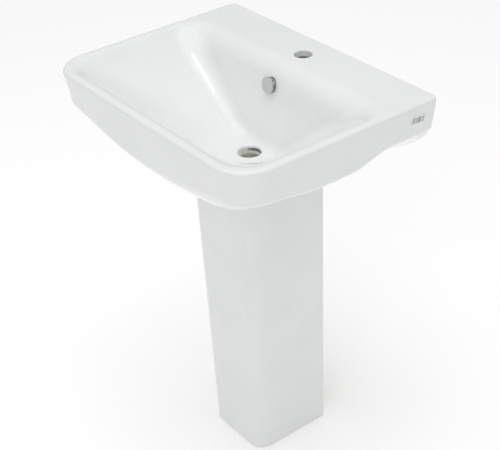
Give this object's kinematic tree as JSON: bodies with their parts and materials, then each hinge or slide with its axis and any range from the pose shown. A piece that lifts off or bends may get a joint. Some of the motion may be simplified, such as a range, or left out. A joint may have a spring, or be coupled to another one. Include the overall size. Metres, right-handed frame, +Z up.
{
  "type": "pedestal sink",
  "caption": "Rectangular vitreous china washbasin with a rear tap deck and a chromed overflow cap, standing on a hollow tapered china pedestal that hides the waste trap.",
  "frame": {"origin": "on the floor, under the centre of the basin's rim rectangle", "axes": "+Z up, +Y towards the wall that the basin's flat back meets, +X to the right of someone facing the basin"},
  "size_m": [0.6, 0.44, 0.83],
  "materials": {
    "basin_china": "white vitreous china, fired gloss glaze",
    "cap_chrome": "bright chrome plating",
    "pedestal_china": "white vitreous china, fired gloss glaze",
    "pad_rubber": "black EPDM strip, matt",
    "label_paper": "white label stock with grey printed bars"
  },
  "bodies": {
    "root": {"basin": "basin_china", "overflow_cap": "cap_chrome", "pedestal": "pedestal_china", "bearing_pad_left": "pad_rubber", "bearing_pad_right": "pad_rubber", "barcode_label": "label_paper"}
  },
  "joints": []
}
